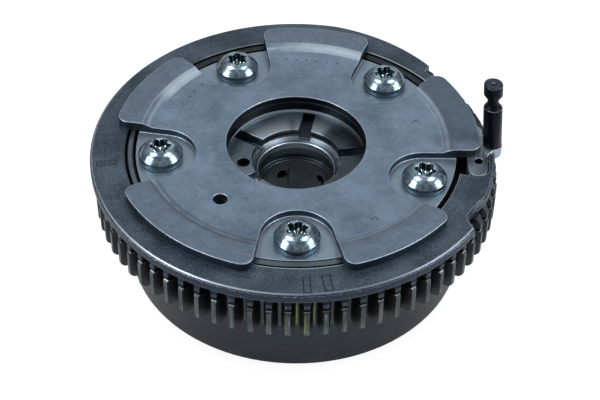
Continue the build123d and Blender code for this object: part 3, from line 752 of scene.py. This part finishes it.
def zincPlate(name):
    plan = zincFinish
    paint = Paint(name, plan)
    mottle = paint.noise(paint.place, 0.6, 5, 0.65, 0.6)
    grain = paint.noise(paint.place, 5.0, 3, 0.6)
    plated = (mottle * 0.8 + grain * 0.2).step(0.34, 0.64)
    colour = paint.blend(plated, "dark", "light")
    tint = paint.noise(paint.place, 0.35, 3, 0.5).step(0.5, 0.7)
    colour = paint.lay(colour, tint * 0.45, "tint")
    outer = paint.area("sideReach")
    # painted light: the head's side is an even light grey, for the light it reflects
    colour = paint.lay(colour, paint.area("sideHeight") * outer * 0.7, "side")
    # painted shade in the socket, with painted highlights on its flutes
    inside = paint.area("socketReach", "socketHeight")
    flutes = (paint.angle * plan["flutes"] + mottle * 2.0).sine().step(0.35, 0.85)
    colour = paint.mix(inside, colour, paint.blend(flutes * 0.85, "socket", "socketLight"))
    spots = paint.cells(1.3).step(0.2, 0.08) * paint.noise(paint.place, 0.8, 2).step(0.52, 0.6)
    colour = paint.lay(colour, spots * 0.45, "spot")
    # painted shade: dark lines at the head's foot and where its side meets the dome
    seat = paint.area("seatHeight").most(paint.z.near(*plan["sideTopLevel"]) * 0.8)
    colour = paint.lay(colour, seat * outer * 0.6, "socket")
    rough = (mottle * 0.6 + grain * 0.3).spread(0.13, 0.3)
    bump = paint.bump(mottle + grain * 0.5, 0.35, 0.04)
    return paint.finish(colour=colour, roughness=rough, metallic=0.96, normal=bump)


# Black oxide of the assembly pin
oxideFinish = {
    "dark": (14, 17, 23),
    "light": (27, 32, 39),
    "top": (64, 77, 88),
    "wornAndLit": (150, 162, 172),
    "topHeight": (58.05, 58.12),
    "neckLevel": (50.2, 0.14, 0.05),
    "headLevel": (57.85, 0.16, 0.05),
}


def blackOxide(name):
    plan = oxideFinish
    paint = Paint(name, plan)
    grain = paint.noise(paint.place, 3.0, 4, 0.6)
    rings = paint.drawn(paint.z * 6.0, 0.0, 0.0)
    colour = paint.blend((grain * 0.6 + rings * 0.4).step(0.35, 0.75), "dark", "light")
    # painted light on the head's top face
    top = paint.area("topHeight") * grain.spread(0.5, 1.0)
    colour = paint.lay(colour, top, "top")
    # bright rings at the neck and head edges, and lighter sharp edges: wear, and painted highlights
    line = paint.z.near(*plan["neckLevel"]).most(paint.z.near(*plan["headLevel"]) * 0.8)
    line = line * paint.noise(paint.place, 0.8, 3, 0.6).step(0.36, 0.56)
    edgeWearAndSheen = paint.edges(0.2) * paint.noise(paint.place, 1.2, 4, 0.65).step(0.42, 0.62)
    colour = paint.lay(colour, (edgeWearAndSheen * 0.6).most(line) * 0.8, "wornAndLit")
    rough = (grain * 0.5 + rings * 0.4).spread(0.28, 0.5)
    bump = paint.bump(rings + grain, 0.35, 0.02)
    return paint.finish(colour=colour, roughness=rough, metallic=0.95, normal=bump)


# Dark plastic of the sealing strips
sealFinish = {"dark": (46, 42, 38), "light": (70, 64, 58)}


def sealPlastic(name):
    paint = Paint(name, sealFinish)
    grain = paint.noise(paint.place, 3.0, 4, 0.6)
    colour = paint.blend(grain.step(0.3, 0.7), "dark", "light")
    rough, bump = grain.spread(0.4, 0.6), paint.bump(grain, 0.3, 0.02)
    return paint.finish(colour=colour, roughness=rough, metallic=0.0, normal=bump)


finishes = {
    "gear": gearSteel("gearSteel"),
    "splitGear": gearSteel("splitGearSteel", True),
    "cover": coverSteel("coverSteel"),
    "disc": discSteel("discSteel"),
    "rotor": rotorSteel("rotorSteel"),
    "spring": springSteel("springSteel"),
    "springRing": springSteel("springRingSteel", True),
    "zinc": zincPlate("zincPlate"),
    "oxide": blackOxide("blackOxide"),
    "seal": sealPlastic("sealPlastic"),
}
print("finishes made")


def dress(piece, finish):
    piece.data.materials.clear()
    piece.data.materials.append(finishes[finish])


def put(piece, finish, body, node):
    if piece.name not in bpy.context.scene.collection.objects:
        bpy.context.scene.collection.objects.link(piece)
    dress(piece, finish)
    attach(piece, body)
    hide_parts(node)


# How solids of the frame are taken over: sizes in mm, angles in degrees
meshPlan = {"weld": 0.0015, "flat": 0.2, "sharp": 28, "segments": 2}

# Solids of the frame with their edges broken, each standing for its node
# edge: width of the broken edge in mm, 0 where the solid has its own
softened = {
    "gear_housing": {
        "piece": "gearBody", "body": "housing", "finish": "gear", "slot": "sintered_steel",
        "edge": 0.08,
    },
    "compensating_gear": {
        "piece": "splitGear", "body": "housing", "finish": "splitGear", "slot": "sintered_steel",
        "edge": 0.08,
    },
    "timing_disc": {
        "piece": "timingDisc", "body": "housing", "finish": "disc", "slot": "dark_steel", "edge": 0.0,
    },
    "front_cover": {
        "piece": "frontCover", "body": "housing", "finish": "cover", "slot": "cover_steel",
        "edge": 0.2,
    },
    "backlash_spring": {
        "piece": "springRing", "body": "housing", "finish": "springRing", "slot": "bright_steel",
        "edge": 0.13,
        "lift": {
            "reach": 46.5,  # the ring is nearer to the axis, the lug further out
            "above": 34.6,
            "rise": 1.05,  # of the ring in the open pockets, whose sectors are the windows
            "soft": 6.0,
            "windows": ((36.5, 64.5), (102.0, 133.5), (172.5, 204.5), (257.5, 285.0)),
            "lug": (16.0, 340.0),
            "beyond": 47.5,
            "eye": (53.7, 0.75),
            "eyeAbove": 35.2,
            "eyeRise": 0.75,
            "arms": ((49.5, -5.6), (48.5, 6.8)),
            "slope": (2.85, 4.7),  # from the eye, along each arm
            "tolerance": 1e-7,  # in metres
        },
    },
    "rotor": {
        "piece": "rotorBody", "body": "rotor_body", "finish": "rotor", "slot": "rotor_steel",
        "edge": 0.15,
    },
}


def azimuth(vert):
    return math.degrees(math.atan2(vert.co.y, vert.co.x)) % 360


# The small faces of one flat side become one face
def makeWhole(shape, verts, edges):
    flat = math.radians(meshPlan["flat"])
    bmesh.ops.dissolve_limit(shape, angle_limit=flat, verts=verts, edges=edges, delimit=set())


# The lug's faces are made whole, then cut on both sides of its eye, and the eye is raised between;
# dict.fromkeys keeps the order of the parts, so the mesh is the same each run
def liftEye(shape, plan):
    lug = [vert for vert in shape.verts if not plan["lug"][0] < azimuth(vert) < plan["lug"][1]]
    makeWhole(shape, lug, list(dict.fromkeys(edge for vert in lug for edge in vert.link_edges)))
    eye = Vector((*plan["eye"], 0.0))
    low, high = plan["slope"]
    arms = [(Vector((*arm, 0.0)) - eye).normalized() for arm in plan["arms"]]
    for arm in arms:
        for reach in (low, high):
            far = plan["beyond"] * mm
            faces = [face for face in shape.faces if face.calc_center_median().length > far]
            parts = dict.fromkeys(part for face in faces for part in (*face.verts, *face.edges))
            cut = {"geom": [*parts, *faces], "dist": plan["tolerance"]}
            bmesh.ops.bisect_plane(shape, **cut, plane_co=(eye + arm * reach) * mm, plane_no=arm)
    for vert in shape.verts:
        place = vert.co / mm
        if place.xy.length > plan["reach"] and place.z > plan["eyeAbove"]:
            past = max((place - eye).dot(arm) for arm in arms)
            vert.co.z += plan["eyeRise"] * mm * min(max((high - past) / (high - low), 0), 1)


# The ring stands higher in the open pockets than under the lobes, and so does the eye of the lug
def liftRing(shape, plan):
    liftEye(shape, plan)
    for vert in shape.verts:
        x, y, z = vert.co / mm
        if math.hypot(x, y) > plan["reach"] or z < plan["above"]:
            continue
        angle = azimuth(vert)
        outside = min(max(start - angle, angle - end, 0) for start, end in plan["windows"])
        share = max(1 - outside / plan["soft"], 0)
        vert.co.z += plan["rise"] * mm * share * share * (3 - 2 * share)


def soften(node, plan):
    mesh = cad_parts[node].data.copy()
    mesh.name = plan["piece"]
    shape = bmesh.new()
    shape.from_mesh(mesh)
    bmesh.ops.remove_doubles(shape, verts=shape.verts, dist=meshPlan["weld"] * mm)
    if "lift" in plan:
        liftRing(shape, plan["lift"])
    elif plan["edge"]:
        makeWhole(shape, shape.verts, shape.edges)
    for face in shape.faces:
        face.smooth = True
    shape.to_mesh(mesh)
    shape.free()
    for name in [layer.name for layer in mesh.attributes if layer.name == "custom_normal"]:
        mesh.attributes.remove(mesh.attributes[name])
    mesh.set_sharp_from_angle(angle=math.radians(meshPlan["sharp"]))
    piece = bpy.data.objects.new(plan["piece"], mesh)
    if plan["edge"]:
        rounding = piece.modifiers.new("brokenEdges", "BEVEL")
        rounding.width = plan["edge"] * mm
        rounding.segments = meshPlan["segments"]
        rounding.limit_method = "ANGLE"
        rounding.angle_limit = math.radians(meshPlan["sharp"])
        rounding.use_clamp_overlap = False
        rounding.harden_normals = True
    put(piece, plan["finish"], plan["body"], node)


for node, plan in softened.items():
    soften(node, plan)
print("large solids softened")


# A made shape as a mesh: smooth faces that look outward, sharp above an angle in degrees
def closeMesh(name, shape, sharp):
    for face in shape.faces:
        face.smooth = True
    bmesh.ops.recalc_face_normals(shape, faces=shape.faces)
    mesh = bpy.data.meshes.new(name)
    shape.to_mesh(mesh)
    shape.free()
    mesh.set_sharp_from_angle(angle=math.radians(sharp))
    return mesh


# A closed skin over rings of points that all have the same count
def ringMesh(name, rings, sharp):
    shape = bmesh.new()
    rows = [[shape.verts.new(point) for point in ring] for ring in rings]
    count = len(rows[0])
    for low, high in zip(rows, rows[1:]):
        for number in range(count):
            after = (number + 1) % count
            shape.faces.new((low[number], low[after], high[after], high[number]))
    for row, flip in ((rows[0], True), (rows[-1], False)):
        middle = shape.verts.new(sum((vert.co for vert in row), Vector()) / count)
        for number in range(count):
            corners = (row[number], row[(number + 1) % count], middle)
            shape.faces.new(corners[::-1] if flip else corners)
    return closeMesh(name, shape, sharp)


def circle(radius, height, count, shift=0.0):
    return [
        Vector((radius * math.cos(turn) + shift, radius * math.sin(turn), height)) * mm
        for turn in (2 * math.pi * number / count for number in range(count))
    ]


# Pan head screws with a six-lobed socket, sizes in mm from the head's seat
# The lists of pairs give how far a ring lies inside its outline, and how far along from its end
screwPlan = {
    "places": (270.7, 337.9, 47.3, 117.9, 188.3),
    "turns": (20, 47, 12, 33, 5),
    "circle": 37.0,
    "foot": 36.0,
    "count": 96,
    "sharp": 38,
    "shank": 2.98,
    "length": 14.5,
    "point": ((0.7, 0.0), (0.45, 0.3)),
    "threadFrom": 0.8,
    "threadTo": -4.5,
    "threadDepth": 0.5,
    "pitch": 1.0,
    "crest": (0.45, 0.55),  # shares of the pitch
    "seat": 0.02,
    "head": 6.0,
    "footEdge": ((0.22, 0.02), (0.05, 0.12), (0.0, 0.3)),
    "sideTop": 1.95,
    "topEdge": ((0.0, 0.0), (0.04, 0.14), (0.14, 0.26)),
    "bulge": 0.42,
    "domeRings": 12,
    "ringGap": 0.01,
    "height": 4.6,
    "crown": 3.1,
    "lobes": 6,
    "lobeOut": 2.95,
    "lobeIn": 2.1,
    "fullness": 0.8,
    "socketEdge": ((0.12, 0.0), (0.03, 0.05), (0.0, 0.2)),
    "socketDepth": 2.5,
    "socketFoot": ((-0.06, 0.2), (-0.3, 0.0)),
    "drillTip": (0.9, 0.35),
}


# The six-lobed outline: wide rounded lobes with narrower hollows between them
def lobed(plan, grow, height):
    points = []
    for number in range(plan["count"]):
        turn = 2 * math.pi * number / plan["count"]
        wave = 0.5 + 0.5 * math.cos(plan["lobes"] * turn)  # 1 in the middle of a lobe
        radius = plan["lobeIn"] + (plan["lobeOut"] - plan["lobeIn"]) * wave ** plan["fullness"] + grow
        points.append(Vector((radius * math.cos(turn), radius * math.sin(turn), height)) * mm)
    return points


def screwMesh(plan):
    rings = []

    def ring(radius, height):
        rings.append(circle(radius, height, plan["count"]))

    shank, pitch = plan["shank"], plan["pitch"]
    height = -plan["length"]
    for inset, rise in plan["point"]:
        ring(shank - inset, height + rise)
    height += plan["threadFrom"]
    while height < plan["threadTo"]:
        ring(shank - plan["threadDepth"], height)
        for share in plan["crest"]:
            ring(shank, height + pitch * share)
        height += pitch
    ring(shank, height)
    ring(shank, plan["seat"])
    head, sideTop, top = plan["head"], plan["sideTop"], plan["height"]
    for inset, rise in plan["footEdge"]:
        ring(head - inset, rise)
    for inset, rise in plan["topEdge"]:
        ring(head - inset, sideTop + rise)
    start, level = head - inset, sideTop + rise
    for step in range(1, plan["domeRings"]):  # domed top, a shallow arc up to the crown
        share = step / plan["domeRings"]
        dome = level + (top - level) * share + plan["bulge"] * math.sin(math.pi * share)
        limit = top - plan["ringGap"] * (plan["domeRings"] - step)
        ring(start + (plan["crown"] - start) * share, min(dome, limit))
    ring(plan["crown"], top)
    for grow, drop in plan["socketEdge"]:
        rings.append(lobed(plan, grow, top - drop))
    floor = top - plan["socketDepth"]
    for grow, rise in plan["socketFoot"]:
        rings.append(lobed(plan, grow, floor + rise))
    ring(plan["drillTip"][0], floor - plan["drillTip"][1])
    return ringMesh("panScrew", rings, plan["sharp"])


screwShape = screwMesh(screwPlan)
for number, (place, twist) in enumerate(zip(screwPlan["places"], screwPlan["turns"])):
    screw = bpy.data.objects.new(f"panScrew{number + 1}", screwShape)
    turn = math.radians(place)
    at = Vector((math.cos(turn), math.sin(turn), 0)) * screwPlan["circle"]
    at = at + Vector((0, 0, screwPlan["foot"]))
    spin = Matrix.Rotation(math.radians(twist), 4, "Z")
    screw.matrix_world = Matrix.Translation(at * mm) @ spin
    put(screw, "zinc", "housing", "cover_screws")
print("screws made")


# Assembly pin: it leans a little above its shoulder; the profile gives radius and height in mm
pinPlan = {
    "offset": 53.7,
    "azimuth": 0.8,
    "lean": 4.6,
    "shoulder": 36.45,
    "count": 72,
    "sharp": 38,
    "profile": (
        (0.35, 23.05), (0.6, 23.1), (0.93, 23.7), (0.95, 24.2), (0.95, 37.12), (1.05, 37.18),
        (2.3, 37.18), (2.5, 37.26), (2.575, 37.45), (2.575, 49.9), (2.53, 50.12),
        (2.4, 50.3), (2.25, 50.42), (1.72, 51.35), (1.6, 51.55), (1.55, 51.8), (1.55, 52.75),
        (1.6, 52.98), (1.72, 53.15), (2.42, 54.35), (2.54, 54.55), (2.575, 54.8), (2.575, 57.55),
        (2.54, 57.8), (2.44, 57.98), (2.28, 58.09), (2.1, 58.14), (0.95, 58.14), (0.85, 58.1),
        (0.7, 57.9), (0.3, 57.62),
    ),
}


def pinMesh(plan):
    slope = math.tan(math.radians(plan["lean"]))
    rings = []
    for radius, height in plan["profile"]:
        shift = -slope * max(height - plan["shoulder"], 0)
        rings.append(circle(radius, height, plan["count"], shift))
    return ringMesh("assemblyPin", rings, plan["sharp"])


pin = bpy.data.objects.new("assemblyPin", pinMesh(pinPlan))
turn = math.radians(pinPlan["azimuth"])
pinFoot = Vector((math.cos(turn), math.sin(turn), 0)) * pinPlan["offset"] * mm
pin.matrix_world = Matrix.Translation(pinFoot)
put(pin, "oxide", "assembly_pin_body", "assembly_pin")
print("assembly pin made")


# Coil spring behind the lock pin, sizes in mm
coilPlan = {
    "azimuth": 229.9,
    "offset": 30.6,
    "foot": 13.05,
    "top": 31.0,
    "coil": 1.75,
    "wire": 0.32,
    "turns": 9.5,
    "perTurn": 20,
    "sides": 8,
    "closed": 0.06,  # share of the length whose coils lie flat, at each end
    "sharp": 50,
}


def coilMesh(plan):
    steps = int(plan["turns"] * plan["perTurn"])
    sides = plan["sides"]
    shape = bmesh.new()
    rows = []
    low = plan["foot"] + plan["wire"]
    high = plan["top"] - plan["wire"]
    for step in range(steps + 1):
        share = step / steps
        turn = 2 * math.pi * plan["turns"] * share
        eased = min(max((share - plan["closed"]) / (1 - 2 * plan["closed"]), 0), 1)
        outward = Vector((math.cos(turn), math.sin(turn), 0))
        centre = outward * plan["coil"] + Vector((0, 0, low + (high - low) * eased))
        row = []
        for side in range(sides):
            around = 2 * math.pi * side / sides
            reach = outward * math.cos(around) + Vector((0, 0, math.sin(around)))
            row.append(shape.verts.new((centre + reach * plan["wire"]) * mm))
        rows.append(row)
    for first, second in zip(rows, rows[1:]):
        for side in range(sides):
            after = (side + 1) % sides
            shape.faces.new((first[side], first[after], second[after], second[side]))
    shape.faces.new(rows[0])
    shape.faces.new(rows[-1][::-1])
    return closeMesh("lockSpringCoil", shape, plan["sharp"])


turn = math.radians(coilPlan["azimuth"])
coilReach = coilPlan["offset"]
coilFoot = Vector((math.cos(turn) * coilReach, math.sin(turn) * coilReach, 0)) * mm
coilShape = coilMesh(coilPlan)
coilShape.transform(Matrix.Translation(coilFoot))
coil = bpy.data.objects.new("lockSpringCoil", coilShape)
put(coil, "spring", "rotor_body", "lock_spring")
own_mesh(coil)
print("lock spring made")


# Solids that are shown as they are
plainNodes = {name: "spring" for name in ("spring_pin", "anchor_pin", "lock_seat", "lock_pin")}
for number in range(1, 6):  # one for each vane
    plainNodes[f"vane_seal_{number}"] = "seal"
    plainNodes[f"seal_spring_{number}"] = "spring"
for node, finish in plainNodes.items():
    dress(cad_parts[node], finish)
print("small solids dressed")


# Floor: nearly white to the camera, dimmer in reflections, with a soft shadow on its lit part
# half is in metres, below in mm under the rear rim
floorPlan = {"half": 3.0, "below": 0.02, "lit": 0.32, "glow": 0.8, "mirrored": 0.6}


def makeFloor(plan):
    mesh = bpy.data.meshes.new("floor")
    half = plan["half"]
    corners = [(-half, -half), (half, -half), (half, half), (-half, half)]
    mesh.from_pydata([(x, y, -plan["below"] * mm) for x, y in corners], [], [(0, 1, 2, 3)])
    floor = bpy.data.objects.new("floor", mesh)
    bpy.context.scene.collection.objects.link(floor)
    material = bpy.data.materials.new("paleFloor")
    material.use_nodes = True
    graph = Graph(material.node_tree)
    seen = graph.node("ShaderNodeLightPath", {}, {}, "Is Camera Ray")
    mirrored = graph.node("ShaderNodeLightPath", {}, {}, "Is Glossy Ray")
    grey = (plan["lit"], plan["lit"], plan["lit"], 1)
    lit = graph.node("ShaderNodeBsdfDiffuse", {}, {"Color": grey})
    strength = (seen * plan["glow"]).most(mirrored * plan["mirrored"])
    glow = graph.node("ShaderNodeEmission", {}, {"Strength": strength})
    both = graph.node("ShaderNodeAddShader", {}, {0: lit, 1: glow})
    graph.node("ShaderNodeOutputMaterial", {}, {"Surface": both}, None)
    mesh.materials.append(material)


makeFloor(floorPlan)


# Studio light: a plain world, white to the camera, and a few soft panels
# The world's light grows with height; places are in metres, power in watts
worldPlan = {"from": -0.1, "to": 0.9, "low": 0.20, "high": 0.44}
lampAim = (0, 0, 0.02)
lampPlan = {
    "back": {"place": (0.15, 0.75, 0.75), "size": 0.9, "power": 1.4},
    "topLeft": {"place": (-0.42, -0.05, 0.85), "size": 0.32, "power": 3.2},
    "topRight": {"place": (0.42, -0.05, 0.85), "size": 0.32, "power": 3.2},
    "left": {"place": (-0.75, -0.35, 0.5), "size": 0.4, "power": 3.8},
    "right": {"place": (0.8, -0.2, 0.45), "size": 0.4, "power": 2.9},
}


def makeWorld(plan):
    world = bpy.data.worlds.new("studio")
    bpy.context.scene.world = world
    world.use_nodes = True
    graph = Graph(world.node_tree)
    place = graph.node("ShaderNodeTexCoord", {}, {}, "Generated")
    rise = graph.node("ShaderNodeSeparateXYZ", {}, {0: place}, "Z").step(plan["from"], plan["to"])
    strength = rise.spread(plan["low"], plan["high"])
    light = graph.node("ShaderNodeBackground", {}, {"Strength": strength})
    white = graph.node("ShaderNodeBackground", {}, {"Color": (1, 1, 1, 1), "Strength": 1.0})
    seen = graph.node("ShaderNodeLightPath", {}, {}, "Is Camera Ray")
    choice = graph.node("ShaderNodeMixShader", {}, {0: seen, 1: light, 2: white})
    graph.node("ShaderNodeOutputWorld", {}, {"Surface": choice}, None)


def makeLamp(name, plan):
    data = bpy.data.lights.new(name, "AREA")
    data.shape = "SQUARE"
    data.size = plan["size"]
    data.energy = plan["power"]
    lamp = bpy.data.objects.new(name, data)
    place = Vector(plan["place"])
    lamp.location = place
    lamp.rotation_mode = "QUATERNION"
    lamp.rotation_quaternion = (place - Vector(lampAim)).to_track_quat("Z", "Y")
    bpy.context.scene.collection.objects.link(lamp)


makeWorld(worldPlan)
for name, plan in lampPlan.items():
    makeLamp(name + "Lamp", plan)
print("floor and light made")
